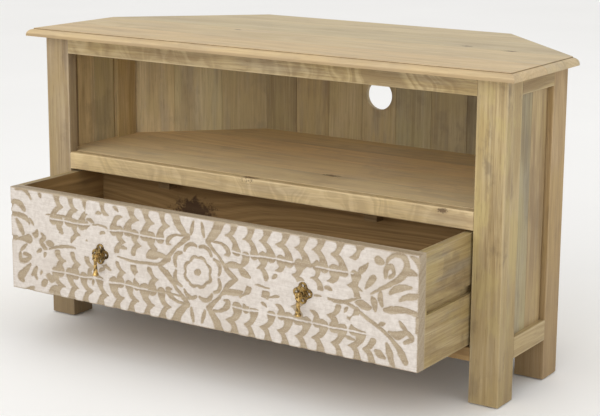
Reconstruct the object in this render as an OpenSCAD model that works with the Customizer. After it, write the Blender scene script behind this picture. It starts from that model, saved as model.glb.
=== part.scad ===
// Corner media cabinet in solid wood: a six-sided carcass with an open compartment,
// one wide drawer on wooden side runners, and two hanging brass drawer pulls.
// Millimetres. +Z is up, the front faces -Y, and the cabinet is symmetric about X = 0.
// The drawer is drawn pulled out, a little short of its stops.

/* [Overall] */
// Width over the outer faces of the posts
cabinet_w = 1000; // [800:5:1250]
// Height from the floor to the top surface
cabinet_h = 578; // [470:1:700]
// Depth from the front of the posts to the outer back face
cabinet_d = 448; // [370:1:540]
// Depth of each straight side, up to where the slanted corner starts
side_d = 235; // [195:1:285]

/* [Top] */
// Thickness of the top
top_t = 15; // [12:0.5:22]
// How far the top stands out past the front posts
top_over_front = 30; // [15:1:40]
// How far the top stands out past each side
top_over_side = 25; // [15:1:35]
// How far the top stands out past the back
top_over_back = 16; // [8:1:25]
// How far the top stands out past each slanted corner
top_over_corner = 11; // [5:1:20]
// Width of the rounded edge moulding
mould_w = 11; // [8:0.5:13]
// Height of the small step above the rounded edge
mould_step = 2; // [1:0.5:3]

/* [Frame] */
// Width of a post on both faces
post = 56; // [45:1:68]
// Thickness of the posts above the shelf, where they are cut back on the inside
post_top_t = 30; // [26:1:34]
// Thickness of the boards in the front frame and of all rails
rail_t = 22; // [17:1:27]
// Height of the rails under the top
top_rail_h = 32; // [25:1:40]
// Clear height under the lowest rails
base_z = 75; // [55:1:95]
// Height of the low side rails
side_rail_h = 37; // [30:1:45]
// Height of the low rails at the front, corners and back
base_rail_h = 24; // [18:1:30]
// Length of the tenons on the rail ends
tenon_l = 12; // [9:1:15]
// Thickness of the tenons
tenon_t = 8; // [6:1:10]
// Rounding of the long edges
ease = 1.5; // [0.5:0.5:2.5]
// Height of a floor glide under each foot
glide_h = 2; // [1.5:0.5:4]
// Diameter of a floor glide
glide_d = 24; // [16:1:30]

/* [Panels] */
// Thickness of the side panels
side_panel_t = 12; // [10:1:15]
// How far the side panels lie behind the outer faces of the posts
side_recess = 10; // [4:1:10]
// Width of the open seam between a side panel and its rear post
side_seam = 4; // [2:0.5:6]
// Thickness of the back and corner panels
back_panel_t = 10; // [8:1:14]
// How far the corner panels lie behind the line through the post corners
corner_recess = 4; // [2:0.5:8]
// Width of one board in the glued-up panels
board_w = 92; // [70:1:120]
// Width of the V groove where two boards meet
vee = 1; // [0.5:0.5:3]
// Diameter of the cable hole in the back panel
cable_hole_d = 60; // [40:1:75]

/* [Shelf] */
// Height of the shelf's upper face
shelf_z = 336; // [280:1:400]
// Height of the solid edge in front of the shelf
shelf_edge_h = 33; // [28:1:40]
// Thickness of the shelf board
shelf_t = 18; // [15:1:22]
// Rounding of the shelf edge
shelf_round = 3; // [1:0.5:4]
// Height of the shelf cleats
cleat_h = 14; // [11:1:17]
// Width of the cleats
cleat_w = 18; // [15:1:22]

/* [Drawer] */
// Travel left between the drawer as drawn and its stops
drawer_spare = 27.2; // [0:0.1:60]
// Gap on each side of the drawer
drawer_gap_side = 3.5; // [2.5:0.5:5]
// Gap above and below the drawer
drawer_gap_up = 4; // [3:0.5:6]
// Space kept between the closed drawer's rear corners and the corner panels, along X
drawer_corner_gap = 12.5; // [8:0.5:20]
// Thickness of the drawer front
front_t = 22; // [18:1:27]
// Thickness of the drawer sides
drawer_side_t = 15; // [14:1:18]
// Thickness of the drawer back
drawer_back_t = 12; // [10:1:15]
// Thickness of the drawer bottom
bottom_t = 6; // [5:0.5:8]
// Height of the bottom's groove above the lower edge
bottom_up = 10; // [8:1:14]
// Depth of the bottom's groove
bottom_in = 6; // [4:1:7]
// Height of a runner
runner_h = 15; // [12:1:18]
// Depth of the runner groove in a drawer side
runner_in = 8; // [6:0.5:9]
// Clearance round a runner in its groove
runner_gap = 0.5; // [0.3:0.1:1]
// Where the runner groove starts behind the drawer's face
runner_start = 27; // [24:1:40]
// Distance from the middle to each drawer stop
stop_x = 230; // [150:5:290]
// Depth of a drawer stop along the travel
stop_d = 24; // [20:1:30]
// Width of a drawer stop
stop_w = 26; // [20:1:32]
// How far a drawer stop hangs below the drawer's upper edge
stop_drop = 14; // [10:1:18]

/* [Pulls] */
// Distance between the two pulls
pull_spacing = 441; // [340:1:520]
// Distance from the drawer's face to the pendant's pivot
pull_standoff = 15; // [13:0.5:18]
// Distance from the middle of a backplate to the middle of a lobe
plate_reach = 11; // [9:0.5:13]
// Radius of a backplate lobe
plate_lobe_r = 8; // [6.5:0.5:9]
// Thickness of a backplate
plate_t = 2; // [1.5:0.5:3]
// Length of a pendant below its pivot
pendant_l = 38; // [31:1:46]
// Radius of a pendant's foot
pendant_r = 5.8; // [4.5:0.1:7]
// Radius of the pivot pin
pin_r = 1.25; // [1:0.05:1.5]
// Running clearance of the pin in the stud's eye
pin_gap = 0.05; // [0.02:0.01:0.1]
// Radius of the stud's eye
eye_r = 4.5; // [3.8:0.1:5.5]
// Thickness of the stud's eye
eye_t = 3.2; // [2.4:0.1:4]
// Radius of the stud's threaded shank
shank_r = 2.5; // [2:0.1:3]

/* [Hidden] */
$fn = 48;

root2 = sqrt(2);
half_w = cabinet_w / 2;
inner_x = half_w - post;
post_in_x = half_w - post_top_t;
under_top = cabinet_h - top_t;
top_rail_z = under_top - top_rail_h;

// The slanted corner runs at 45 degrees, so a line on it is x + y = constant.
corner_line = half_w + side_d;
corner_out = corner_line - corner_recess * root2;
corner_in = corner_out - back_panel_t * root2;
corner_rail_in = corner_in - rail_t * root2;
back_in = cabinet_d - back_panel_t;
back_rail_in = back_in - rail_t;

panel_out_x = half_w - side_recess;
panel_in_x = panel_out_x - side_panel_t;
rear_post_y = side_d - post;

// Back legs: a post with one corner cut off to fit the slanted corner.
leg_x = corner_in - back_in - post;
leg_out_x = leg_x + post + rail_t;
leg_y = back_in - post;
leg_top = shelf_z - shelf_t;

drawer_z0 = base_z + base_rail_h + drawer_gap_up;
drawer_z1 = shelf_z - shelf_edge_h - drawer_gap_up;
drawer_mid = (drawer_z0 + drawer_z1) / 2;
drawer_hw = inner_x - drawer_gap_side;
drawer_in_x = drawer_hw - drawer_side_t;
drawer_d = corner_in - drawer_hw - drawer_corner_gap;
back_face = drawer_d - drawer_back_t;
stop_y = rail_t + 2;
drawer_open = back_face - stop_y - stop_d - drawer_spare;
dowel_r = 4;
dowel_z = [drawer_z0 + (drawer_mid - drawer_z0) * 0.45, drawer_z1 - (drawer_z1 - drawer_mid) * 0.45];

runner_in_x = drawer_hw - runner_in + runner_gap;
runner_y0 = runner_start + 0.5;
runner_y1 = side_d - 2;

hole_z = (shelf_z + top_rail_z) / 2;
pull_x = pull_spacing / 2;
pivot_y = -pull_standoff;
cheek_in = eye_t / 2 + 0.2;
cheek_out = cheek_in + 2.2;
cheek_r = eye_r - 0.3;
nut_y = front_t + 1;

front_reach = drawer_open + pull_standoff + pendant_r;
y_shift = -(cabinet_d + top_over_back - front_reach) / 2;

wood = [0.76, 0.70, 0.60];
raw_wood = [0.45, 0.33, 0.24];
limed = [0.93, 0.91, 0.87];
brass = [0.55, 0.45, 0.25];
steel = [0.60, 0.60, 0.62];

// ---------- placing and shared shapes ----------

// Puts the origin on the floor, in the middle of the whole box.
module place() {
    translate([0, y_shift, 0]) children();
}

// Places a piece of the drawer, whose own front face is y = 0.
module in_drawer() {
    place() translate([0, -drawer_open, 0]) children();
}

// Draws a right-hand piece, or its mirror image on the left.
module on_side(side) {
    mirror([side < 0 ? 1 : 0, 0, 0]) children();
}

module both_sides() {
    for (side = [-1, 1]) on_side(side) children();
}

// A rectangle with rounded corners, from its own lower left corner.
module round_rect(w, h, r) {
    translate([r, 0]) square([w - 2 * r, h]);
    translate([0, r]) square([w, h - 2 * r]);
    for (x = [r, w - r], y = [r, h - r]) translate([x, y]) circle(r);
}

// An upright post standing on the glides.
module upright(x, y, w, d, z0, z1) {
    translate([x, y, z0]) linear_extrude(z1 - z0) round_rect(w, d, ease);
}

// A board along X, given by its two ends and its section in Y and Z.
module board_x(x0, x1, y, z, d, h, r) {
    translate([x0, y, z]) rotate([90, 0, 90]) linear_extrude(x1 - x0) round_rect(d, h, r);
}

// A board along Y, given by its two ends and its section in X and Z.
module board_y(y0, y1, x, z, w, h, r) {
    translate([x, y1, z]) rotate([90, 0, 0]) linear_extrude(y1 - y0) round_rect(w, h, r);
}

// A countersunk wood screw with its head at the origin, driven along +Z.
module screw(len, d) {
    rotate_extrude() polygon([
        [0, 0], [d, 0], [d, 0.4], [d / 2, d * 0.55], [d / 2, len - d], [0, len]
    ]);
}

// A flat slot for a V groove running up a panel face that looks along -Y.
module vee_cut(x, y, z0, z1) {
    translate([x, y, z0]) linear_extrude(z1 - z0)
        polygon([[-vee / 2 - 0.5, -0.5], [vee / 2 + 0.5, -0.5], [0, vee * 0.75]]);
}

// ---------- top ----------

// Section of the moulded edge: a small step, then a quarter round down to the edge.
module mould_section(reach) {
    flat = top_t - mould_step - mould_w;
    translate([-reach, 0]) square([reach - mould_w, top_t]);
    translate([-reach, 0]) square([reach, flat]);
    intersection() {
        translate([-mould_w, flat]) circle(mould_w);
        translate([-mould_w, 0]) square([mould_w, top_t]);
    }
}

// A long bar with that section; its outer edge lies on the line through (x, y).
module mould_bar(x, y, turn) {
    reach = cabinet_w + cabinet_d;
    translate([x, y, 0]) rotate([0, 0, turn])
        translate([0, reach, 0]) rotate([90, 0, 0]) linear_extrude(2 * reach) mould_section(reach);
}

// The top is what all six moulded edges enclose.
module top_panel() {
    side_x = half_w + top_over_side;
    corner_x = half_w + top_over_corner / root2;
    corner_y = side_d + top_over_corner / root2;
    place() color(wood) difference() {
        translate([0, 0, under_top]) intersection() {
            mould_bar(0, -top_over_front, -90);
            mould_bar(0, cabinet_d + top_over_back, 90);
            mould_bar(side_x, 0, 0);
            mould_bar(-side_x, 0, 180);
            mould_bar(corner_x, corner_y, 45);
            mould_bar(-corner_x, corner_y, 135);
        }
        cleat_screw_set();
    }
}

// ---------- posts and legs ----------

module glide_at(x, y) {
    translate([x, y, 0]) rotate_extrude() polygon([
        [0, 0], [glide_d / 2 - 0.6, 0], [glide_d / 2, 0.6], [glide_d / 2, glide_h],
        [1, glide_h], [1, glide_h + 12], [0, glide_h + 14]
    ]);
}

// Centres of the six glides on the right and left.
module glide_set() {
    both_sides() {
        glide_at(half_w - post / 2, (rail_t + post) / 2);
        glide_at(half_w - post / 2, side_d - post / 2);
        glide_at(leg_x + post / 2, leg_y + post / 2);
    }
}

module floor_glides() {
    place() color([0.15, 0.14, 0.13]) glide_set();
}

// Stub tenon on the end of a front rail, reaching into the stile.
module front_tenon(z, h) {
    translate([inner_x - 1, (rail_t - tenon_t) / 2, z + 4]) cube([tenon_l + 1, tenon_t, h - 8]);
}

module front_tenons() {
    front_tenon(top_rail_z, top_rail_h);
    front_tenon(shelf_z - shelf_edge_h, shelf_edge_h);
    front_tenon(base_z, base_rail_h);
}

// Stub tenons on both ends of a side rail.
module side_tenons(z, h) {
    translate([half_w - (rail_t + tenon_t) / 2, post - tenon_l, z + 4])
        cube([tenon_t, rear_post_y - post + 2 * tenon_l, h - 8]);
}

// Front board of the front post; its seam with the post shows on both faces.
module front_stile(side) {
    place() color(wood) on_side(side) difference() {
        upright(inner_x, 0, post, rail_t, glide_h, under_top);
        front_tenons();
    }
}

// Cuts a post back above the shelf, which rests on the ledge this leaves.
module post_notch(y) {
    translate([inner_x - 1, y - 1, leg_top])
        cube([post_in_x - inner_x + 1, post + 2, under_top - leg_top + 1]);
}

module front_post(side) {
    place() color(wood) on_side(side) difference() {
        upright(inner_x, rail_t, post, post - rail_t, glide_h, under_top);
        post_notch(rail_t);
        side_tenons(base_z, side_rail_h);
        side_tenons(top_rail_z, top_rail_h);
        side_tongue();
        glide_set();
        runner_screw_set();
    }
}

module side_post(side) {
    place() color(wood) on_side(side) difference() {
        upright(inner_x, rear_post_y, post, post, glide_h, under_top);
        post_notch(rear_post_y);
        side_tenons(base_z, side_rail_h);
        side_tenons(top_rail_z, top_rail_h);
        side_tongue();
        glide_set();
        runner_screw_set();
    }
}

// The back leg fills the corner between the back and the slanted side.
module back_leg(side) {
    place() color(raw_wood) on_side(side) difference() {
        translate([0, 0, glide_h]) linear_extrude(leg_top - glide_h) polygon([
            [leg_x, leg_y], [leg_out_x, leg_y], [leg_out_x, corner_in - leg_out_x],
            [corner_in - back_in, back_in], [leg_x, back_in]
        ]);
        glide_set();
    }
}

// ---------- rails ----------

module front_top_rail() {
    place() color(wood) {
        board_x(-inner_x, inner_x, 0, top_rail_z, rail_t, top_rail_h, ease);
        both_sides() front_tenon(top_rail_z, top_rail_h);
    }
}

module shelf_edge() {
    place() color(wood) {
        board_x(-inner_x, inner_x, 0, shelf_z - shelf_edge_h, rail_t, shelf_edge_h, shelf_round);
        both_sides() front_tenon(shelf_z - shelf_edge_h, shelf_edge_h);
    }
}

module front_base_rail() {
    place() color(raw_wood) {
        board_x(-inner_x, inner_x, 0, base_z, rail_t, base_rail_h, ease);
        both_sides() front_tenon(base_z, base_rail_h);
    }
}

// A side rail between front and rear post, rebated on the inside for the panel.
module side_rail(z, h, rebate_z) {
    difference() {
        union() {
            board_y(post, rear_post_y, half_w - rail_t, z, rail_t, h, ease);
            side_tenons(z, h);
        }
        translate([panel_in_x - 1, post, rebate_z])
            cube([side_panel_t + 1, rear_post_y - post, 6]);
    }
}

module side_top_rail(side) {
    place() color(wood) on_side(side) side_rail(top_rail_z, top_rail_h, top_rail_z);
}

module side_base_rail(side) {
    place() color(wood) on_side(side)
        side_rail(base_z, side_rail_h, base_z + side_rail_h - 6);
}

// A slanted rail inside a corner panel, starting at the rear post's back face;
// tip gives its other corners.
module corner_rail_shape(z, h, tip) {
    translate([0, 0, z]) linear_extrude(h) polygon(concat([[corner_in - side_d, side_d]], tip));
}

module corner_top_rail(side) {
    place() color(raw_wood) on_side(side) difference() {
        corner_rail_shape(top_rail_z, top_rail_h, [
            [corner_in - back_in, back_in], [corner_rail_in - back_rail_in, back_rail_in],
            [post_in_x, corner_rail_in - post_in_x], [post_in_x, side_d]
        ]);
        panel_screw_set();
    }
}

module corner_base_rail(side) {
    place() color(raw_wood) on_side(side) difference() {
        corner_rail_shape(base_z, base_rail_h, [
            [leg_out_x, corner_in - leg_out_x], [leg_out_x, corner_rail_in - leg_out_x],
            [corner_rail_in - side_d, side_d]
        ]);
        panel_screw_set();
    }
}

module back_top_rail() {
    outer = corner_in - back_in;
    inner = corner_rail_in - back_rail_in;
    place() color(raw_wood) difference() {
        translate([0, 0, top_rail_z]) linear_extrude(top_rail_h) polygon([
            [-outer, back_in], [outer, back_in], [inner, back_rail_in], [-inner, back_rail_in]
        ]);
        both_sides() panel_screw_set();
    }
}

module back_base_rail() {
    place() color(raw_wood) difference() {
        board_x(-leg_x, leg_x, back_rail_in, base_z, rail_t, base_rail_h, ease);
        both_sides() panel_screw_set();
    }
}

// ---------- panels ----------

// Thin tongue along the rear edge and front edge of a side panel.
module side_tongue() {
    z0 = base_z + side_rail_h;
    third = side_panel_t / 3;
    translate([panel_in_x + third, post - 6, z0])
        cube([third, rear_post_y - post + 12, top_rail_z - z0]);
}

// Two upright boards; a narrow dark seam is left beside the rear post.
module side_panel(side) {
    z0 = base_z + side_rail_h - 6;
    z1 = top_rail_z + 6;
    middle = (post + rear_post_y - side_seam) / 2;
    place() color(wood) on_side(side) difference() {
        union() {
            translate([panel_in_x, post, z0])
                cube([side_panel_t, rear_post_y - side_seam - post, z1 - z0]);
            side_tongue();
        }
        translate([0, middle, 0]) rotate([0, 0, 90]) vee_cut(0, -panel_out_x, z0 - 1, z1 + 1);
        translate([0, middle, 0]) rotate([0, 0, -90]) vee_cut(0, panel_in_x, z0 - 1, z1 + 1);
    }
}

// V grooves about board_w apart; the count of boards is odd, so none splits the middle.
module panel_seams(length, y_front, y_back) {
    count = 2 * floor(length / board_w / 2) + 1;
    step = length / count;
    for (i = [1 : 1 : count - 1]) {
        x = -length / 2 + i * step;
        vee_cut(x, y_front, base_z - 1, under_top + 1);
        translate([x, y_back, 0]) rotate([0, 0, 180]) vee_cut(0, 0, base_z - 1, under_top + 1);
    }
}

// Mid-point and length of the slanted panel's outer face, used to place its seams.
corner_end_x = corner_out - cabinet_d;
corner_mid_x = (corner_end_x + corner_out - side_d) / 2;
corner_len = (corner_out - side_d - corner_end_x) * root2;

module corner_panel(side) {
    place() color(wood) on_side(side) difference() {
        translate([0, 0, base_z]) linear_extrude(under_top - base_z) polygon([
            [corner_in - side_d, side_d], [corner_out - side_d, side_d],
            [corner_end_x, cabinet_d], [corner_in - back_in, back_in]
        ]);
        translate([corner_mid_x, corner_out - corner_mid_x, 0]) rotate([0, 0, -45])
            panel_seams(corner_len, -back_panel_t, 0);
        panel_screw_set();
    }
}

module back_panel() {
    place() color(wood) difference() {
        translate([0, 0, base_z]) linear_extrude(under_top - base_z) polygon([
            [-corner_in + back_in, back_in], [corner_in - back_in, back_in],
            [corner_end_x, cabinet_d], [-corner_end_x, cabinet_d]
        ]);
        panel_seams(2 * corner_end_x, back_in, cabinet_d);
        translate([0, back_in - 1, hole_z]) rotate([-90, 0, 0])
            cylinder(h = back_panel_t + 2, d = cable_hole_d);
        both_sides() panel_screw_set();
    }
}

// ---------- shelf, cleats and stops ----------

module shelf_panel() {
    half = [
        [post_in_x, rail_t], [post_in_x, post], [panel_in_x, post], [panel_in_x, rear_post_y],
        [post_in_x, rear_post_y], [post_in_x, side_d], [corner_in - side_d, side_d],
        [corner_in - back_in, back_in]
    ];
    other = [for (i = [len(half) - 1 : -1 : 0]) [-half[i][0], half[i][1]]];
    place() color(wood) translate([0, 0, shelf_z - shelf_t]) linear_extrude(shelf_t)
        polygon(concat(half, other));
}

module shelf_cleats() {
    z = shelf_z - shelf_t - cleat_h;
    place() color(raw_wood) {
        both_sides() {
            translate([panel_in_x - cleat_w, post, z]) cube([cleat_w, rear_post_y - post, cleat_h]);
            translate([0, 0, z]) linear_extrude(cleat_h) polygon([
                [corner_in - cleat_w * root2 - side_d - 1, side_d + 1],
                [corner_in - side_d - 1, side_d + 1],
                [leg_out_x, corner_in - leg_out_x],
                [leg_out_x, corner_in - cleat_w * root2 - leg_out_x]
            ]);
        }
        translate([-leg_x, back_in - cleat_w, z]) cube([2 * leg_x, cleat_w, cleat_h]);
    }
}

// Places a child at each screw of the top cleats on the right.
module at_cleat_screws() {
    for (x = [0.32, 0.78]) translate([x * inner_x, rail_t + cleat_w / 2, under_top - cleat_w])
        children();
    for (y = [0.25, 0.75])
        translate([panel_in_x - cleat_w / 2, post + y * (rear_post_y - post), under_top - cleat_w])
            children();
}

cleat_screw_l = cleat_w + top_t * 0.55;

module cleat_screw_set() {
    both_sides() at_cleat_screws() screw(cleat_screw_l, 4);
}

module cleat_screws() {
    place() color(steel) cleat_screw_set();
}

module top_cleats() {
    z = under_top - cleat_w;
    place() color(raw_wood) difference() {
        union() {
            translate([-inner_x + 4, rail_t, z]) cube([2 * inner_x - 8, cleat_w, cleat_w]);
            both_sides() translate([panel_in_x - cleat_w, post, z])
                cube([cleat_w, rear_post_y - post, cleat_w]);
        }
        cleat_screw_set();
    }
}

// Blocks under the shelf that catch the drawer's back before it slides out.
module drawer_stops() {
    z = drawer_z1 - stop_drop;
    place() color(raw_wood) both_sides()
        translate([stop_x - stop_w / 2, stop_y, z]) cube([stop_w, stop_d, leg_top - z]);
}

// ---------- runners and screws ----------

// Where the runner's screws sit along Y: one in each post.
runner_screw_y = [post * 0.7, side_d - post / 2];

module runner_screw_set() {
    for (y = runner_screw_y) translate([runner_in_x, y, drawer_mid]) rotate([0, 90, 0])
        screw(inner_x - runner_in_x + 22, 4);
}

module runner_screws() {
    place() color(steel) both_sides() runner_screw_set();
}

module drawer_runner(side) {
    place() color(raw_wood) on_side(side) difference() {
        translate([runner_in_x, runner_y0, drawer_mid - runner_h / 2])
            cube([inner_x - runner_in_x, runner_y1 - runner_y0, runner_h]);
        runner_screw_set();
    }
}

// Screws through the back and corner panels into the rails, all on the right half.
// They are spread over the low rails, which are the shorter ones.
module panel_screw_set() {
    for (z = [base_z + base_rail_h / 2, top_rail_z + top_rail_h / 2]) {
        for (k = [0.3, 0.85])
            translate([k * leg_x, cabinet_d, z]) rotate([90, 0, 0]) screw(back_panel_t + 16, 4);
        for (k = [0.25, 0.75]) {
            x = corner_out - side_d - k * (corner_out - side_d - leg_out_x);
            translate([x, corner_out - x, z]) rotate([90, 0, -45]) screw(back_panel_t + 16, 4);
        }
    }
}

module panel_screws() {
    place() color(steel) both_sides() panel_screw_set();
}

// ---------- drawer ----------

module bottom_board() {
    x = drawer_in_x + bottom_in;
    translate([-x, front_t - bottom_in, drawer_z0 + bottom_up])
        cube([2 * x, back_face - front_t + 2 * bottom_in, bottom_t]);
}

// Dowels that join the sides to the front and the back.
module dowel_set() {
    side_mid = drawer_hw - drawer_side_t / 2;
    for (z = dowel_z) {
        translate([side_mid, front_t - 12, z]) rotate([-90, 0, 0]) cylinder(h = 34, r = dowel_r);
        translate([drawer_in_x - 20, back_face + drawer_back_t / 2, z]) rotate([0, 90, 0])
            cylinder(h = 20 + drawer_side_t - 4, r = dowel_r);
    }
}

module drawer_front() {
    in_drawer() color(limed) difference() {
        translate([-drawer_hw, 0, drawer_z0])
            cube([2 * drawer_hw, front_t, drawer_z1 - drawer_z0]);
        bottom_board();
        both_sides() {
            dowel_set();
            translate([pull_x, -1, drawer_mid]) rotate([-90, 0, 0])
                cylinder(h = front_t + 2, r = shank_r + 0.25);
        }
    }
}

module drawer_side(side) {
    groove_h = runner_h + 2 * runner_gap;
    in_drawer() color(wood) on_side(side) difference() {
        translate([drawer_in_x, front_t, drawer_z0])
            cube([drawer_side_t, drawer_d - front_t, drawer_z1 - drawer_z0]);
        translate([drawer_hw - runner_in, runner_start, drawer_mid - groove_h / 2])
            cube([runner_in + 1, drawer_d, groove_h]);
        bottom_board();
        dowel_set();
    }
}

module drawer_back() {
    in_drawer() color(raw_wood) difference() {
        translate([-drawer_in_x, back_face, drawer_z0])
            cube([2 * drawer_in_x, drawer_back_t, drawer_z1 - drawer_z0]);
        bottom_board();
        both_sides() dowel_set();
    }
}

module drawer_bottom() {
    in_drawer() color(raw_wood) bottom_board();
}

module drawer_dowels() {
    in_drawer() color(raw_wood) both_sides() dowel_set();
}

// ---------- pulls ----------

// Moves to a pull: the origin is on the drawer's face, in the middle of the backplate.
module at_pull() {
    translate([pull_x, 0, drawer_mid]) children();
}

// Pierced four-lobed backplate.
module pull_plate(side) {
    in_drawer() color(brass) on_side(side) at_pull() rotate([90, 0, 0]) linear_extrude(plate_t)
        difference() {
            union() {
                circle(plate_reach * 0.8);
                for (a = [0 : 90 : 270]) rotate(a) {
                    translate([plate_reach, 0]) circle(plate_lobe_r);
                    rotate(45) translate([plate_reach * 0.95, 0]) circle(plate_lobe_r * 0.42);
                }
            }
            circle(shank_r + 0.1);
            for (a = [0 : 90 : 270]) rotate(a) {
                translate([plate_reach * 1.18, 0]) circle(plate_lobe_r * 0.34);
                for (b = [-1, 1]) translate([plate_reach * 0.86, b * plate_lobe_r * 0.5])
                    circle(plate_lobe_r * 0.17);
            }
        }
}

// Turned stud: shank through the drawer front, flange on the plate, flat eye at the end.
module pull_stud(side) {
    tail = front_t + 1 + 4 + 2;
    neck_y = pivot_y + eye_r + 0.3;
    in_drawer() color(brass) on_side(side) at_pull() difference() {
        union() {
            rotate([-90, 0, 0]) rotate_extrude() polygon([
                [0, neck_y], [2.3, neck_y], [3.3, neck_y + 1.6], [2.7, neck_y + 2.8],
                [2.7, -plate_t - 2.2], [4, -plate_t - 1.4], [6, -plate_t - 1.2], [6, -plate_t],
                [shank_r, -plate_t], [shank_r, tail - 0.6], [shank_r - 0.6, tail], [0, tail]
            ]);
            translate([-eye_t / 2, pivot_y, -2.2]) cube([eye_t, eye_r + 0.8, 4.4]);
            translate([-eye_t / 2, pivot_y, 0]) rotate([0, 90, 0]) cylinder(h = eye_t, r = eye_r);
        }
        translate([-eye_t, pivot_y, 0]) rotate([0, 90, 0])
            cylinder(h = 2 * eye_t, r = pin_r + pin_gap);
    }
}

module pull_washers() {
    in_drawer() color(steel) both_sides() at_pull() translate([0, front_t, 0])
        rotate([-90, 0, 0]) difference() {
            cylinder(h = 1, r = 6);
            translate([0, 0, -1]) cylinder(h = 3, r = shank_r + 0.2);
        }
}

module pull_nuts() {
    in_drawer() color(steel) both_sides() at_pull() translate([0, nut_y, 0])
        rotate([-90, 0, 0]) difference() {
            cylinder(h = 4, r = 4.6, $fn = 6);
            translate([0, 0, -1]) cylinder(h = 6, r = shank_r);
        }
}

// Hanging drop: a fork over the stud's eye and a bar that flares to a round foot.
module pull_pendant(side) {
    in_drawer() color(brass) on_side(side) at_pull() translate([0, pivot_y, 0]) difference() {
        union() {
            translate([-cheek_out, 0, 0]) rotate([0, 90, 0])
                cylinder(h = 2 * cheek_out, r = cheek_r);
            translate([-cheek_out, -cheek_r * 0.85, -eye_r - 3])
                cube([2 * cheek_out, cheek_r * 1.7, eye_r + 3]);
            rotate_extrude() polygon([
                [0, -eye_r - 1], [3.6, -eye_r - 1], [3.6, -eye_r - 4], [3.1, -eye_r - 8],
                [3.3, -pendant_l * 0.62], [pendant_r * 0.76, -pendant_l * 0.84],
                [pendant_r, -pendant_l * 0.92], [pendant_r * 0.9, -pendant_l * 0.97],
                [pendant_r * 0.5, -pendant_l], [0, -pendant_l]
            ]);
        }
        translate([-cheek_in, -eye_r - 3, -eye_r - 0.7])
            cube([2 * cheek_in, 2 * eye_r + 6, 2 * eye_r + 3]);
        translate([-cheek_out - 1, 0, 0]) rotate([0, 90, 0])
            cylinder(h = 2 * cheek_out + 2, r = pin_r);
    }
}

module pull_pin(side) {
    in_drawer() color(brass) on_side(side) at_pull() translate([0, pivot_y, 0])
        rotate([0, 90, 0]) rotate_extrude() polygon([
            [0, -cheek_out - 0.9], [pin_r + 0.3, -cheek_out - 0.9], [pin_r + 0.8, -cheek_out - 0.4],
            [pin_r + 0.8, -cheek_out], [pin_r, -cheek_out], [pin_r, cheek_out],
            [pin_r + 0.8, cheek_out], [pin_r + 0.8, cheek_out + 0.4],
            [pin_r + 0.3, cheek_out + 0.9], [0, cheek_out + 0.9]
        ]);
}

// ---------- one line per node ----------

top_panel();
front_post(-1);  // front_post_left
front_post(1);  // front_post_right
front_stile(-1);  // front_stile_left
front_stile(1);  // front_stile_right
side_post(-1);  // side_post_left
side_post(1);  // side_post_right
back_leg(-1);  // back_leg_left
back_leg(1);  // back_leg_right
front_top_rail();
shelf_edge();
front_base_rail();
side_top_rail(-1);  // side_top_rail_left
side_top_rail(1);  // side_top_rail_right
side_base_rail(-1);  // side_base_rail_left
side_base_rail(1);  // side_base_rail_right
corner_top_rail(-1);  // corner_top_rail_left
corner_top_rail(1);  // corner_top_rail_right
corner_base_rail(-1);  // corner_base_rail_left
corner_base_rail(1);  // corner_base_rail_right
back_top_rail();
back_base_rail();
side_panel(-1);  // side_panel_left
side_panel(1);  // side_panel_right
corner_panel(-1);  // corner_panel_left
corner_panel(1);  // corner_panel_right
back_panel();
shelf_panel();
shelf_cleats();
top_cleats();
drawer_stops();
drawer_runner(-1);  // drawer_runner_left
drawer_runner(1);  // drawer_runner_right
floor_glides();
runner_screws();
cleat_screws();
panel_screws();
drawer_front();
drawer_side(-1);  // drawer_side_left
drawer_side(1);  // drawer_side_right
drawer_back();
drawer_bottom();
drawer_dowels();
pull_plate(-1);  // pull_plate_left
pull_plate(1);  // pull_plate_right
pull_stud(-1);  // pull_stud_left
pull_stud(1);  // pull_stud_right
pull_washers();
pull_nuts();
pull_pendant(-1);  // pull_pendant_left
pull_pendant(1);  // pull_pendant_right
pull_pin(-1);  // pull_pin_left
pull_pin(1);  // pull_pin_right
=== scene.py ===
# %% [markdown]
# # A corner media cabinet in bleached wood
#
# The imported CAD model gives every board, rail and fitting at its true size. This lesson gives
# them their looks: bleached hardwood with real grain, raw brown wood inside, a drawer front
# carved in low relief and whitewashed, and antiqued brass pulls. Everything is in metres.
# X runs to the right, Y to the back and Z up, and the cabinet's front faces -Y.

import math

import bpy
import numpy as np
from mathutils import Matrix, Vector


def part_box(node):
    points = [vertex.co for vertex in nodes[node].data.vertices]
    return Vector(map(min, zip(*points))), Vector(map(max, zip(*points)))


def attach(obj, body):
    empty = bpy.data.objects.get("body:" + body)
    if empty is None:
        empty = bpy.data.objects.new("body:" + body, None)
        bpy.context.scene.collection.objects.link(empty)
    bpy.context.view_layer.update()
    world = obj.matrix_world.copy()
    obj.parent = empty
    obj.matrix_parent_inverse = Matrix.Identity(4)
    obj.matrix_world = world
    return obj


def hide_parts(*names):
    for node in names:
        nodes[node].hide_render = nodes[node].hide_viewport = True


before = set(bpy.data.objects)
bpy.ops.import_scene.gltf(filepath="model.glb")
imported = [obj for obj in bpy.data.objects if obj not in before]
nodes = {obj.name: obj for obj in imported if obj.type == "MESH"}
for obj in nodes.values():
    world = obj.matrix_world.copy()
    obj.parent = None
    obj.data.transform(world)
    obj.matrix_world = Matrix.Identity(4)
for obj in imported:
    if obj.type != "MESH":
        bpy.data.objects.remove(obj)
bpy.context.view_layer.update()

# %% [markdown]
# ## Shader maths
#
# A wood finish is mostly arithmetic on noise. Adding Math nodes by hand hides that, so a small
# class wraps one output of a node, and ordinary operators add the Math nodes. Everything else
# goes through one method, `add`, which takes a node's type, its settings and its sockets.

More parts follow.
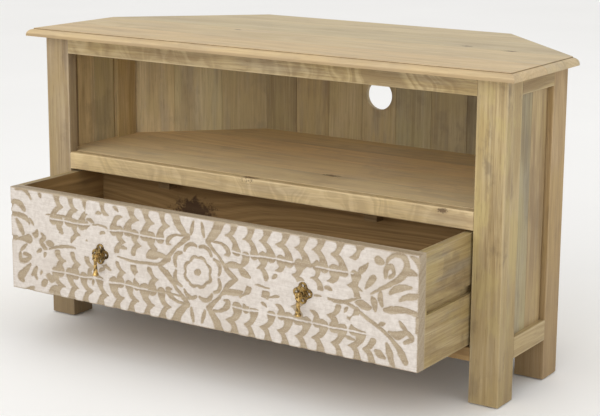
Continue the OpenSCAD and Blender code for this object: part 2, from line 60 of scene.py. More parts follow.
# %% A node output that can be used in ordinary maths
def plug(tree, value, socket):
    if isinstance(value, Value):
        tree.links.new(value.socket, socket)
    elif isinstance(value, (tuple, list)) and len(value) == 3 and socket.type == "RGBA":
        socket.default_value = (*value, 1.0)
    else:
        socket.default_value = value


class Value:
    def __init__(self, tree, socket):
        self.tree, self.socket = tree, socket

    def maths(self, operation, *values):
        node = self.tree.nodes.new("ShaderNodeMath")
        node.operation = operation
        for socket, value in zip(node.inputs, values):
            plug(self.tree, value, socket)
        return Value(self.tree, node.outputs[0])

    def __add__(self, other):
        return self.maths("ADD", self, other)

    def __radd__(self, other):
        return self.maths("ADD", other, self)

    def __sub__(self, other):
        return self.maths("SUBTRACT", self, other)

    def __rsub__(self, other):
        return self.maths("SUBTRACT", other, self)

    def __mul__(self, other):
        return self.maths("MULTIPLY", self, other)

    def __rmul__(self, other):
        return self.maths("MULTIPLY", other, self)

    def __truediv__(self, other):
        return self.maths("DIVIDE", self, other)

    def __pow__(self, other):
        return self.maths("POWER", self, other)

    def __abs__(self):
        return self.maths("ABSOLUTE", self)

    def least(self, other):
        return self.maths("MINIMUM", self, other)

    def most(self, other):
        return self.maths("MAXIMUM", self, other)

    def whole(self):
        return self.maths("FLOOR", self)


print("operators ready")


# %% A finish: one material and the one method that adds its nodes
class Finish:
    def __init__(self, name):
        self.material = bpy.data.materials.new(name)
        self.material.use_nodes = True
        self.tree = self.material.node_tree
        self.tree.nodes.clear()

    def add(self, kind, settings=None, sockets=None, out=0):
        node = self.tree.nodes.new("ShaderNode" + kind)
        for key, value in (settings or {}).items():
            setattr(node, key, value)
        for key, value in (sockets or {}).items():
            plug(self.tree, value, node.inputs[key])
        return Value(self.tree, node.outputs[out]) if node.outputs else None

    def place(self):
        where = self.add("TexCoord", out="Object")
        return [self.add("SeparateXYZ", None, {0: where}, axis) for axis in range(3)]

    def vector(self, x, y, z):
        return self.add("CombineXYZ", None, {0: x, 1: y, 2: z})

    def noise(self, where, scale=1.0, detail=2.0, rough=0.5, twist=0.0):
        sockets = {"Vector": where, "Scale": scale, "Detail": detail, "Roughness": rough}
        sockets["Distortion"] = twist
        return self.add("TexNoise", None, sockets, "Fac")

    def noise_on_line(self, where, detail=1.0, rough=0.5):
        sockets = {"W": where, "Scale": 1.0, "Detail": detail, "Roughness": rough}
        return self.add("TexNoise", {"noise_dimensions": "1D"}, sockets)

    def chance(self, number):
        return self.add("TexWhiteNoise", {"noise_dimensions": "1D"}, {"W": number})

    def fade(self, value, low, high):
        settings = {"interpolation_type": "SMOOTHSTEP"}
        return self.add("MapRange", settings, {"Value": value, "From Min": low, "From Max": high})

    def blend(self, share, first, second, way="MIX"):
        settings = {"data_type": "RGBA", "blend_type": way}
        return self.add("Mix", settings, {0: share, 6: first, 7: second}, 2)

    def close(self, colour, rough, height=None, depth=0.0005, **uniform):
        sockets = {"Base Color": colour, "Roughness": rough, **uniform}
        if height is not None:
            bump = {"Height": height, "Distance": depth, "Strength": 1.0}
            sockets["Normal"] = self.add("Bump", None, bump)
        shader = self.add("BsdfPrincipled", None, sockets)
        self.add("OutputMaterial", None, {"Surface": shader})
        return self.material


print("finish ready")


# %% [markdown]
# ## Camera, light and floor
#
# A long lens three metres away, to the right of the cabinet and a little above it, shows the
# front, the right side and the top at once. It keeps far edges nearly as long as near ones,
# where a wide lens would stretch the near corner. The light is that of a studio: a broad soft
# lamp high in front, a second one low in front that reaches into the open compartment, weak ones
# at the side and back, and a pale sky. The floor is a big pale disc with a faint mottle, so the
# cabinet's soft shadow is all that shows on it.

# %% Camera
LENS, FRAME_WIDTH = 94.866, 36.0
SHIFT = (0.0, -0.05)
CAMERA_AT = Vector((1.6130, -2.4329, 0.9437))
YAW, PITCH, ROLL = (math.radians(a) for a in (33.395, 12.148, 0.370))


def camera_turn():
    level = math.cos(PITCH)
    ahead = Vector((-math.sin(YAW) * level, math.cos(YAW) * level, -math.sin(PITCH)))
    right = Vector((math.cos(YAW), math.sin(YAW), 0))
    above = right.cross(ahead)
    right, above = (
        right * math.cos(ROLL) + above * math.sin(ROLL),
        above * math.cos(ROLL) - right * math.sin(ROLL),
    )
    return Matrix((right, above, -ahead)).transposed().to_4x4()


camera_data = bpy.data.cameras.new("camera")
camera_data.lens, camera_data.sensor_width = LENS, FRAME_WIDTH
camera_data.shift_x, camera_data.shift_y = SHIFT
camera_data.clip_end = 100
camera = bpy.data.objects.new("camera", camera_data)
camera.matrix_world = Matrix.Translation(CAMERA_AT) @ camera_turn()
bpy.context.scene.collection.objects.link(camera)
bpy.context.scene.camera = camera
bpy.context.scene.view_settings.view_transform = "Standard"
print("camera", round(CAMERA_AT.length, 2), "m from the cabinet's middle")


# %% Lamps and sky
def soft_lamp(name, at, aim, size, power, colour=(1.0, 1.0, 1.0)):
    data = bpy.data.lights.new(name, "AREA")
    data.shape, data.size, data.energy, data.color = "DISK", size, power, colour
    lamp = bpy.data.objects.new(name, data)
    lamp.location = at
    lamp.rotation_euler = (Vector(aim) - Vector(at)).to_track_quat("-Z", "Y").to_euler()
    bpy.context.scene.collection.objects.link(lamp)
    return lamp


soft_lamp("key_lamp", (-0.9, -3.2, 3.0), (0, 0, 0.3), 2.6, 20, (1.0, 0.98, 0.94))
soft_lamp("fill_lamp", (0.7, -4.0, 1.5), (0, -0.2, 0.15), 3.2, 40)
soft_lamp("side_lamp", (3.4, -0.6, 1.8), (0, 0, 0.3), 2.0, 3)
soft_lamp("back_lamp", (0.5, 3.4, 2.8), (0, 0, 0.3), 2.6, 6)
sky = bpy.data.worlds.new("sky")
sky.use_nodes = True
sky.node_tree.nodes["Background"].inputs["Color"].default_value = (1.0, 0.99, 0.98, 1)
sky.node_tree.nodes["Background"].inputs["Strength"].default_value = 0.92
bpy.context.scene.world = sky
print("four soft lamps and a pale sky")


# %% Meshes from points and faces
def make_mesh(name, points, faces):
    mesh = bpy.data.meshes.new(name)
    mesh.from_pydata([tuple(p) for p in points], [], [tuple(f) for f in faces])
    mesh.validate()
    piece = bpy.data.objects.new(name, mesh)
    bpy.context.scene.collection.objects.link(piece)
    return piece


print("mesh maker ready")


# %% Floor
FLOOR_DARK, FLOOR_PALE = (0.90, 0.90, 0.89), (0.94, 0.94, 0.93)
FLOOR_REACH, FLOOR_SIDES, FLOOR_Z = 14.0, 96, -0.0002


def floor_finish():
    f = Finish("pale_floor")
    x, y, z = f.place()
    mottle = f.noise(f.vector(x, y, z), 1.6, 4.0)
    speck = f.noise(f.vector(x, y, z), 260.0, 2.0)
    colour = f.blend(mottle, FLOOR_DARK, FLOOR_PALE)
    return f.close(colour, 0.75 + speck * 0.1, speck, 0.0002)


turns = [2 * math.pi * i / FLOOR_SIDES for i in range(FLOOR_SIDES)]
rim = [(FLOOR_REACH * math.cos(t), FLOOR_REACH * math.sin(t), FLOOR_Z) for t in turns]
floor = make_mesh("floor", rim, [range(FLOOR_SIDES)])
floor.data.materials.append(floor_finish())
print("floor", 2 * FLOOR_REACH, "m across")

# %% [markdown]
# ## Grain
#
# The cabinet is plainsawn hardwood. What makes it look like wood is the way the growth rings meet
# each board: a board is cut at some distance from the middle of the tree, so the rings show as
# long arches and stripes. A flat stripe texture could never turn the corner of a board. So the
# finish takes a line far below each board as the tree's middle, measures the distance to it,
# bends that distance with slow noise, and reads a one-dimensional noise with it. Fibres, pores,
# streaks and knots go on top, as noise that is stretched along the board.

# %% Noise that is stretched along a board
AXES = {"X": (0, 1, 2), "Y": (1, 0, 2), "Z": (2, 0, 1)}
NO_SHIFT = (0.0, 0.0, 0.0)


def stretched(f, axes, down, over, shift=NO_SHIFT, detail=1.0, rough=0.5, twist=0.0):
    """Noise with `down` repeats a metre along the grain and `over` repeats across it."""
    paces = (down, over, over)
    where = [part * pace + extra for part, pace, extra in zip(axes, paces, shift)]
    return f.noise(f.vector(*where), 1.0, detail, rough, twist)


print("stretched noise ready")

# %% [markdown]
# A panel is glued up from several boards, and every board comes from another part of the tree.
# White noise gives one number per board, its luck, and all the slow noises are shifted by it, so
# the grain breaks at each seam as it does in real glued-up work.

# %% Boards of a panel
SLANT = math.sqrt(0.5)
SEAM_WIDTH, SEAM_CORE = 0.0016, 0.0002


def board_luck(f, place, seed, boards):
    """Two chance numbers for the board at each point, and how close its seam is."""
    if boards is None:
        return (seed * 0.618) % 1, (seed * 0.377) % 1, None
    across, start, width = boards
    if across == "D":
        lane = (place[0].most(place[0] * -1) - place[1]) * SLANT
    else:
        lane = place["XY".index(across)]
    lane = (lane - start) / width
    number = lane.whole() + seed
    inset = abs(lane - lane.whole() - 0.5) * (2 * width)
    seam = f.fade(inset, width - SEAM_WIDTH, width - SEAM_CORE)
    return f.chance(number), f.chance(number + 71.3), seam


print("boards ready")


# %% Knots
def knot_marks(f, place, along, knots):
    """How far the knots push the rings aside, and where their dark cores are."""
    push, cores = 0.0, None
    for at, size in knots:
        parts = [place[i] - at[i] for i in AXES[along]]
        parts[0] = parts[0] * 0.45
        far = (parts[0] * parts[0] + parts[1] * parts[1] + parts[2] * parts[2]) ** 0.5
        push = push + f.fade(far, size * 5.0, size * 0.5) * 0.012
        ragged = f.noise(f.vector(*place), 1.8 / size, 4.0, 0.75)
        core = f.fade(far + (ragged - 0.5) * (3.0 * size), size, size * 0.45)
        cores = core if cores is None else cores.most(core)
    return push, cores


print("knots ready")

# %% Grain shared by the bleached and the raw wood
RINGS_A_METRE, RING_BEND, TREE_BELOW = 115.0, 0.055, 0.05


def grain(f, along, seed, boards=None, knots=()):
    place = f.place()
    axes = run, side, deep = [place[i] for i in AXES[along]]
    luck, luck2, seam = board_luck(f, place, seed, boards)
    push, cores = knot_marks(f, place, along, knots)
    slow = stretched(f, axes, 1.5, 7.0, (luck * 40.0, luck2 * 9.0, 0.0), 2.0)
    u = side + (luck - 0.5) * 0.16 + run * ((luck2 - 0.5) * 0.05)
    v = deep + TREE_BELOW + luck2 * 0.05
    ring = (u * u + v * v) ** 0.5 + (slow - 0.5) * RING_BEND + push
    return {
        "place": place,
        "axes": axes,
        "luck": luck,
        "luck2": luck2,
        "seam": seam,
        "knot": cores,
        "rings": f.noise_on_line(ring * RINGS_A_METRE + luck * 30.0, 2.5, 0.62),
        "fibre": stretched(f, axes, 9.0, 330.0, (0.0, 0.0, luck * 50.0), 4.0, 0.68),
        "pores": stretched(f, axes, 34.0, 1300.0),
        "streak": stretched(f, axes, 2.1, 21.0, (luck * 23.0, 0.0, seed), 4.0, 0.62, 0.6),
        "cloud": stretched(f, axes, 6.0, 14.0, (5.0, seed, luck * 11.0), 3.0),
        "mottle": stretched(f, axes, 4.5, 38.0, (seed, luck * 7.0, 0.0), 4.0, 0.6),
    }


print("grain ready")

# %% [markdown]
# ## Bleached wood
#
# The outside was bleached, then limed and waxed to a pale grey-beige. Bleach doesn't take evenly:
# ochre clouds, yellow and umber patches and brown streaks are left, and edges that hands touch wear
# pale. The posts also get darker towards the floor. Each of these is one blend over the last
# colour, and how much of it a board gets is its look, so one function can dress every board of the
# cabinet. Materials written out board by board would say the same things over and over.

# %% The looks of a board
PALE, MIDDLE, OCHRE = (0.560, 0.430, 0.225), (0.400, 0.285, 0.125), (0.490, 0.355, 0.130)
BROWN, GREY, DEEP = (0.235, 0.148, 0.062), (0.330, 0.270, 0.185), (0.105, 0.060, 0.028)
WORN, LIMED = (0.64, 0.51, 0.30), (0.670, 0.525, 0.335)
YELLOW, UMBER = (0.540, 0.425, 0.180), (0.240, 0.178, 0.098)
FOOT_BROWN, RAW_STREAK = (0.280, 0.195, 0.085), (0.10, 0.055, 0.024)
RAW_PALE, RAW_DARK = (0.420, 0.265, 0.105), (0.285, 0.170, 0.062)
PLAIN_LOOK = {
    "shade": 1.0,  # how light the whole board is
    "tint": (1.0, 1.0, 1.0),
    "spread": 0.3,  # how much boards of one panel differ
    "grey": 0.4,
    "streaks": 1.0,
    "patches": 0.0,
    "curl": 0.0,  # bands across the grain, as in flame figure
    "lime": 0.0,
    # rim paints a shadow line in the groove inside the top's moulding
    "rim": 0.0,  # the dark groove inside the top's moulding
    "foot": 0.0,  # how dark the board gets towards the floor
    "inner": 0.0,  # |x| inside which the wood was left raw
}
print("looks ready")


# %% Rings, clouds, patches, streaks and pores
def stained(f, g, look, seed):
    colour = f.blend(f.fade(g["rings"], 0.34, 0.68) * 0.80, PALE, MIDDLE)
    colour = f.blend(f.fade(g["cloud"], 0.46, 0.66) * 0.60, colour, OCHRE)
    colour = f.blend(f.fade(g["mottle"], 0.50, 0.66) * look["grey"], colour, GREY)
    if look["patches"]:
        x, y, z = g["place"]
        patch = f.noise(f.vector(x + seed, y * 1.3, z * 0.8), 11.0, 5.0, 0.62)
        colour = f.blend(f.fade(patch, 0.50, 0.60) * (0.60 * look["patches"]), colour, YELLOW)
        colour = f.blend(f.fade(patch, 0.46, 0.36) * (0.62 * look["patches"]), colour, UMBER)
    colour = f.blend(f.fade(g["streak"], 0.50, 0.70) * (0.72 * look["streaks"]), colour, BROWN)
    colour = f.blend(f.fade(g["fibre"], 0.44, 0.70) * 0.42, colour, BROWN)
    colour = f.blend(f.fade(g["fibre"], 0.48, 0.30) * 0.30, colour, WORN)
    return f.blend(f.fade(g["pores"], 0.66, 0.76) * 0.45, colour, DEEP)


print("stains ready")


# %% Curl and lime
def curled(f, g, look, seed, colour):
    run, side, deep = g["axes"]
    sway = f.noise(f.vector(run * 9.0, side * 16.0, deep * 9.0), 1.0, 2.0)
    band = f.noise_on_line(run * 42.0 + side * 95.0 + sway * 12.0 + seed, 2.0)
    dark = f.fade(band, 0.40, 0.66) * look["curl"] * f.fade(g["cloud"], 0.30, 0.56)
    colour = f.blend(dark, colour, BROWN)
    return f.blend(f.fade(band, 0.50, 0.32) * look["curl"] * 0.5, colour, WORN)


def limed(f, g, look, colour):
    return f.blend(look["lime"] + (g["cloud"] - 0.5) * 0.5, colour, LIMED)


print("curl and lime ready")

# %% Worn edges, knots, seams, the painted shadow line of the rim, and the foot
TOP_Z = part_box("top_panel")[1].z
# Height of the painted shadow line in the groove of the top's moulding.
GROOVE_SHADOW_Z = TOP_Z - 0.0011


def edge_gap(place, box):
    """How far a point on a board's face lies from the board's nearest edge."""
    a, b, c = ((p - low).least(high - p) for p, low, high in zip(place, box[0], box[1]))
    return a.least(b).most(a.most(b).least(c))


def marked(f, g, look, box, colour):
    if box is not None:
        gap = edge_gap(g["place"], box) + (g["cloud"] - 0.5) * 0.004
        colour = f.blend(f.fade(gap, 0.0040, 0.0004) * 0.40, colour, WORN)
    if g["knot"] is not None:
        colour = f.blend(g["knot"] * 0.85, colour, DEEP)
    if g["seam"] is not None:
        colour = f.blend(g["seam"] * 0.45, colour, BROWN)
    # A painted shadow line along the groove inside the top's moulding.
    if look["rim"]:
        groove_shadow = f.fade(abs(g["place"][2] - GROOVE_SHADOW_Z), 0.0008, 0.0003)
        colour = f.blend(groove_shadow * look["rim"], colour, DEEP)
    if look["foot"]:
        low = f.fade(g["place"][2] + (g["streak"] - 0.5) * 0.16, 0.34, 0.02)
        colour = f.blend(low * look["foot"], colour, FOOT_BROWN)
    return colour


print("marks ready")


# %% Tone of each board, and the raw inner face
def toned(f, g, look, boards, colour):
    red, green, blue = look["tint"]
    if boards is None:
        tint = tuple(look["shade"] * part for part in look["tint"])
    else:
        tone = (g["luck"] - 0.5) * look["spread"] + look["shade"]
        warm = (g["luck2"] - 0.5) * 0.12
        tones = {0: (tone + warm) * red, 1: tone * green, 2: (tone - warm) * blue}
        tint = f.add("CombineColor", None, tones)
    return f.blend(1.0, colour, tint, "MULTIPLY")


def raw_inside(f, g, look, colour):
    inner = f.fade(abs(g["place"][0]), look["inner"] + 0.0004, look["inner"] - 0.0002)
    brown = f.blend(f.fade(g["rings"] + (g["cloud"] - 0.5), 0.35, 0.70), RAW_PALE, RAW_DARK)
    brown = f.blend(f.fade(g["streak"], 0.48, 0.66) * 0.7, brown, RAW_STREAK)
    return f.blend(inner, colour, brown)


print("tones ready")


# %% Bleached wood
def bleached(name, along, seed, boards=None, knots=(), box=None, look=None):
    look = {**PLAIN_LOOK, **(look or {})}
    f = Finish(name)
    g = grain(f, along, seed, boards, knots)
    colour = stained(f, g, look, seed)
    if look["curl"]:
        colour = curled(f, g, look, seed, colour)
    if look["lime"]:
        colour = limed(f, g, look, colour)
    colour = marked(f, g, look, box, colour)
    colour = toned(f, g, look, boards, colour)
    if look["inner"]:
        colour = raw_inside(f, g, look, colour)
    height = 1.0 - f.fade(g["pores"], 0.62, 0.78) - g["fibre"] * 0.5
    return f.close(colour, 0.52 + g["fibre"] * 0.16, height, 0.00022)


def dress(node, material):
    data = nodes[node].data
    data.materials.clear()
    data.materials.append(material)


print("bleached wood ready")

# %% [markdown]
# ## Raw brown wood
#
# Inside, where nobody looks, the same hardwood was left as it came off the saw: darker, warmer
# and a little fuzzy, with faint saw marks across the grain. It shares the grain above, with fewer
# blends over it, and a one-dimensional noise along the board makes the saw marks.

# %% Raw wood
FUZZ_BROWN, STREAK_BROWN, KNOT_BROWN = (0.10, 0.056, 0.028), (0.09, 0.05, 0.024), (0.060, 0.028, 0.013)
SAW_MARKS_A_METRE = 420.0


def raw(name, along, seed, knots=(), shade=1.0):
    f = Finish(name)
    g = grain(f, along, seed, None, knots)
    colour = f.blend(f.fade(g["rings"], 0.3, 0.7), RAW_PALE, RAW_DARK)
    colour = f.blend(f.fade(g["streak"], 0.5, 0.78) * 0.6, colour, STREAK_BROWN)
    colour = f.blend(f.fade(g["fibre"], 0.45, 0.8) * 0.4, colour, FUZZ_BROWN)
    if g["knot"] is not None:
        colour = f.blend(g["knot"] * 0.85, colour, KNOT_BROWN)
    colour = f.blend(1.0, colour, (shade,) * 3, "MULTIPLY")
    saw = f.noise_on_line(g["axes"][0] * SAW_MARKS_A_METRE)
    return f.close(colour, 0.7 + g["fibre"] * 0.15, g["fibre"] * 0.7 + saw * 0.3, 0.0003)


print("raw wood ready")

# %% [markdown]
# ## Dressing the carcass
#
# Grain runs along the length of every board: up the posts and the wall panels, across in the top,
# the shelf and the front rails. In the back and corner panels the finish's boards are as wide as
# the V grooves that the CAD cut between them, so colour and groove change at the same line.

# %% Boards of the panels, measured from their nodes
SHELF_BOARD, TOP_BOARD, SIDE_SEAM_GAP, VEE_INSET = 0.112, 0.124, 0.004, 0.0029
BACK_BOARDS, CORNER_BOARDS = 7, 3
top_lanes = ("Y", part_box("top_panel")[0].y, TOP_BOARD)
shelf_lanes = ("Y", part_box("shelf_edge")[0].y, SHELF_BOARD)

post_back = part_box("front_post_right")[1].y
rear_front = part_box("side_post_right")[0].y - SIDE_SEAM_GAP
side_lanes = ("Y", (post_back + rear_front) / 2, (rear_front - post_back) / 2)

back_low, back_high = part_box("back_panel")
back_lanes = ("X", back_low.x, (back_high.x - back_low.x) / BACK_BOARDS)

slant_low, slant_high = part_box("corner_panel_right")
slant_from = (slant_low.x - slant_high.y) * SLANT + VEE_INSET
slant_to = (slant_high.x - slant_low.y) * SLANT
slant_lanes = ("D", slant_from, (slant_to - slant_from) / CORNER_BOARDS)
for title, lanes in (("side", side_lanes), ("back", back_lanes), ("corner", slant_lanes)):
    print(title, "boards are", round(lanes[2] * 1000, 1), "mm wide")

# %% Knots and looks of the outside
SHELF_Z, SHELF_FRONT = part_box("shelf_panel")[1].z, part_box("shelf_edge")[0].y
TOP_KNOTS = (
    ((0.301, 0.101, TOP_Z), 0.0065),
    ((0.395, 0.085, TOP_Z), 0.0075),
    ((-0.177, 0.060, TOP_Z), 0.0045),
)
SHELF_KNOTS = (
    ((-0.02, -0.125, SHELF_Z - 0.004), 0.010),
    ((0.385, SHELF_FRONT, SHELF_Z - 0.005), 0.0055),
    ((0.095, -0.025, SHELF_Z), 0.009),
)
DRAWER_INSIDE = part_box("drawer_side_right")[0].x + 0.0001

POST = {"shade": 0.89, "foot": 0.46, "grey": 0.40, "patches": 1.1, "streaks": 0.75}
LEFT = {**POST, "shade": 0.72, "foot": 0.75, "patches": 0.5, "tint": (1.0, 0.98, 1.10)}
REAR = {"shade": 0.81, "foot": 0.46, "grey": 0.20, "patches": 0.3, "streaks": 0.8}
REAR_RIGHT = {**REAR, "tint": (1.0, 0.91, 0.87)}
# The left rear post shows only its inner face, in the compartment's shaded corner. It is made lighter
# than the other posts: painted light.
REAR_LEFT_PAINTED_LIGHTER = {**REAR, "shade": 1.10, "tint": (1.0, 0.98, 0.98)}
DRAWER = {"shade": 0.77, "grey": 0.8, "patches": 0.7, "inner": DRAWER_INSIDE}
FRONT_RAIL = {"shade": 0.87, "curl": 0.50}
SHELF_EDGE = {"shade": 1.20, "curl": 0.40, "lime": 0.20}
SIDE_RAIL, LOW_RAIL = {"shade": 0.90}, {"shade": 0.88}
print("knots:", len(TOP_KNOTS), "in the top,", len(SHELF_KNOTS), "in the shelf")

# %% Posts and rails
OUTSIDE = [
    ("front_post_left", "Z", LEFT),
    ("front_post_right", "Z", POST),
    ("front_stile_left", "Z", LEFT),
    ("front_stile_right", "Z", POST),
    ("side_post_left", "Z", REAR_LEFT_PAINTED_LIGHTER),
    ("side_post_right", "Z", REAR_RIGHT),
    ("front_top_rail", "X", FRONT_RAIL),
    ("shelf_edge", "X", SHELF_EDGE),
    ("side_top_rail_left", "Y", SIDE_RAIL),
    ("side_top_rail_right", "Y", SIDE_RAIL),
    ("side_base_rail_left", "Y", LOW_RAIL),
    ("side_base_rail_right", "Y", LOW_RAIL),
    ("drawer_side_left", "Y", DRAWER),
    ("drawer_side_right", "Y", DRAWER),
]
for count, (node, along, look) in enumerate(OUTSIDE):
    knots = SHELF_KNOTS if node == "shelf_edge" else ()
    dress(node, bleached(node, along, 3.7 + 1.3 * count, None, knots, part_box(node), look))
print(len(OUTSIDE), "posts, rails and drawer sides")

# %% Glued-up panels
TOP = {"shade": 0.98, "lime": 0.40, "streaks": 0.9, "spread": 0.10, "rim": 0.75, "patches": 0.3}
# The shelf inside the compartment is made much lighter than the outside boards: painted light, standing
# in for light the lamps don't bring into the compartment.
SHELF_PAINTED_LIGHTER = {"shade": 1.44, "patches": 0.7, "lime": 0.45, "grey": 0.6, "streaks": 0.75, "spread": 0.10}
WALL = {"shade": 0.94, "grey": 0.55, "streaks": 0.95, "spread": 0.30, "lime": 0.10, "patches": 0.6}
WALL["tint"] = (0.97, 1.0, 1.04)
# The left side panel, seen only from inside the compartment, and the left corner panel are made lighter
# too: painted light.
SIDE_LEFT_PAINTED_LIGHTER, SIDE_RIGHT = {**WALL, "shade": 1.22}, {**WALL, "shade": 0.86, "spread": 0.2}
CORNER_LEFT_PAINTED_LIGHTER = {**WALL, "shade": 1.20, "lime": 0.2, "tint": (0.95, 1.02, 1.10)}
PANELS = [
    ("top_panel", "X", top_lanes, TOP_KNOTS, TOP),
    ("shelf_panel", "X", shelf_lanes, SHELF_KNOTS, SHELF_PAINTED_LIGHTER),
    ("side_panel_left", "Z", side_lanes, (), SIDE_LEFT_PAINTED_LIGHTER),
    ("side_panel_right", "Z", side_lanes, (), SIDE_RIGHT),
    ("corner_panel_left", "Z", slant_lanes, (), CORNER_LEFT_PAINTED_LIGHTER),
    ("corner_panel_right", "Z", slant_lanes, (), WALL),
    ("back_panel", "Z", back_lanes, (), WALL),
]
for count, (node, along, lanes, knots, look) in enumerate(PANELS):
    dress(node, bleached(node, along, 31.0 + 10.0 * count, lanes, knots, None, look))
print(len(PANELS), "panels")

# %% Raw boards inside
INSIDE = {
    "back_leg_left": "Z", "back_leg_right": "Z", "front_base_rail": "X", "back_top_rail": "X",
    "back_base_rail": "X", "corner_top_rail_left": "X", "corner_top_rail_right": "X",
    "corner_base_rail_left": "X", "corner_base_rail_right": "X", "shelf_cleats": "X",
    "top_cleats": "X", "drawer_stops": "X", "drawer_runner_left": "Y", "drawer_runner_right": "Y",
    "drawer_back": "X", "drawer_bottom": "X", "drawer_dowels": "Y",
}
# The drawer stops under the shelf and the front base rail under the drawer are darkened: painted shade.
RAW_PAINTED_SHADE = {"front_base_rail": 0.80, "drawer_stops": 0.55}
back_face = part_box("drawer_back")[0].y
BACK_KNOTS = (((-0.195, back_face, 0.238), 0.026), ((-0.165, back_face, 0.226), 0.014))
for count, (node, along) in enumerate(INSIDE.items()):
    knots = BACK_KNOTS if node == "drawer_back" else ()
    dress(node, raw(node, along, 5.1 + 1.7 * count, knots, RAW_PAINTED_SHADE.get(node, 1.0)))
print(len(INSIDE), "raw nodes")

# %% [markdown]
# ## The carved drawer front
#
# The drawer's face is a board carved in low relief: leaves in four rows, a stem that splits at
# both ends, and a rosette in a pointed frame. The raised parts are whitewashed and the cuts show
# tan wood. A bump map would leave the face flat when seen from the side, and sculpting by hand
# couldn't be repeated, so the relief is worked out: a grid of points a little over a millimetre
# apart is pushed in by how far each point lies inside a cut. Every cut is one tapered stroke of a
# gouge along a smooth line, so the whole pattern is a list of strokes, in millimetres from the
# middle of the face.

# %% The carving field
# `gap` holds each point's distance to the nearest cut, and is negative inside a cut.
front_low, front_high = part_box("drawer_front")
FACE_W, FACE_H = (front_high.x - front_low.x) * 1000, (front_high.z - front_low.z) * 1000
STEP = 1.35
columns = np.linspace(-FACE_W / 2, FACE_W / 2, round(FACE_W / STEP) + 1)
rows = np.linspace(-FACE_H / 2, FACE_H / 2, round(FACE_H / STEP) + 1)
across, up = np.meshgrid(columns, rows)
dice = np.random.default_rng(7)


def slow_waves(x, z, reach, size, count=7):
    total = np.zeros_like(x)
    for _ in range(count):
        turn, phase = dice.uniform(0, 2 * math.pi, 2)
        pace = 2 * math.pi / (reach * dice.uniform(0.6, 1.7))
        total += np.sin((x * math.cos(turn) + z * math.sin(turn)) * pace + phase)
    return total * size / math.sqrt(count)


# The carver's hand wanders, so the drawn lines are bent by slow waves.
hand_x = across + slow_waves(across, up, 70, 1.3) + slow_waves(across, up, 14, 0.35)
hand_z = up + slow_waves(across, up, 60, 1.3) + slow_waves(across, up, 12, 0.35)
FAR_FROM_CUTS = 60.0
gap = np.full_like(across, FAR_FROM_CUTS)
print("face", round(FACE_W), "x", round(FACE_H), "mm,", across.size, "points")


# %% One stroke of the gouge
def curve(points, pieces=6):
    """A smooth line through the points, as Catmull and Rom draw it."""
    p = np.array([points[0], *points, points[-1]], float)
    line = []
    for a, b, c, d in zip(p, p[1:], p[2:], p[3:]):
        for t in np.arange(pieces) / pieces:
            bend = (2 * a - 5 * b + 4 * c - d) * t**2 + (3 * b - a - 3 * c + d) * t**3
            line.append(0.5 * (2 * b + (c - a) * t + bend))
    return np.array([*line, p[-1]])


LOOK_ROUND = 9.0  # distances matter only this near a cut


def gouge(*points):
    """Digs one tapered cut. Each point is (x, z, half width)."""
    line = curve(points)
    for (x0, z0, w0), (x1, z1, w1) in zip(line, line[1:]):
        reach = max(w0, w1) + LOOK_ROUND
        i0, i1 = np.searchsorted(columns, (min(x0, x1) - reach, max(x0, x1) + reach))
        j0, j1 = np.searchsorted(rows, (min(z0, z1) - reach, max(z0, z1) + reach))
        if i0 >= i1 or j0 >= j1:
            continue
        window = np.s_[j0:j1, i0:i1]
        px, pz = hand_x[window] - x0, hand_z[window] - z0
        dx, dz = x1 - x0, z1 - z0
        t = np.clip((px * dx + pz * dz) / (dx * dx + dz * dz + 1e-9), 0, 1)
        away = np.hypot(px - t * dx, pz - t * dz) - (w0 + t * (w1 - w0))
        gap[window] = np.minimum(gap[window], away)


def four_ways(*points, skip=0.0, spread=0.14):
    """Cuts one stroke in all four quarters, each a little off, and leaves out a few."""
    for sx in (-1, 1):
        for sz in (-1, 1):
            dx, dz, size, chance = dice.uniform(-1, 1, 4)
            if (chance + 1) / 2 < skip:
                continue
            size = 1 + spread * size
            gouge(*[(sx * x + 1.5 * dx, sz * z + dz, w * size) for x, z, w in points])


def plain(*spots):
    """Leaves places uncarved. Each spot is (x, z, half length, half height)."""
    for x, z, long, tall in spots:
        inside = 1 - ((hand_x - x) / long) ** 2 - ((hand_z - z) / tall) ** 2
        np.maximum(gap, inside * 14, out=gap)


def leaves(*strokes):
    for stroke in strokes:
        gouge(*stroke)


print("gouge ready")

# %% Rows of leaves
OUTER_LEAVES, OUTER_START, OUTER_PITCH = 8, 64, 35.5
INNER_LEAVES, INNER_START, INNER_PITCH = 7, 92, 36
RIB_Z, RIB_HALF, BAND_START, BAND_HALF = 49.5, 2.3, 90, 8.5
for k in range(OUTER_LEAVES):
    x = OUTER_START + OUTER_PITCH * k
    four_ways((x - 2, 75, 0.4), (x + 8, 78, 4.0), (x + 14, 87, 5.0), (x + 15, 101, 8.8), skip=0.03)
    four_ways((x - 2, 75, 0.4), (x + 10, 72, 4.0), (x + 18, 63, 5.2), (x + 20, 50, 9.6), skip=0.04)
for k in range(INNER_LEAVES):
    x = INNER_START + INNER_PITCH * k
    rise = (x - 2, 28, 0.4), (x + 7, 31, 3.6), (x + 12, 38, 5.0), (x + 11, 48, 8.6)
    fall = (x - 2, 28, 0.4), (x + 9, 25, 3.6), (x + 15, 18, 5.0), (x + 17, 12, 5.6)
    four_ways(*rise, skip=0.08, spread=0.3)
    four_ways(*fall, skip=0.12, spread=0.3)
rib = RIB_HALF - np.abs(np.abs(hand_z) - RIB_Z)
band = np.where(np.abs(hand_x) > BAND_START, BAND_HALF - np.abs(hand_z), -FAR_FROM_CUTS)
gap = np.maximum(gap, np.maximum(rib, band))
print("leaves cut, with a rib between the rows and a plain band in the middle")

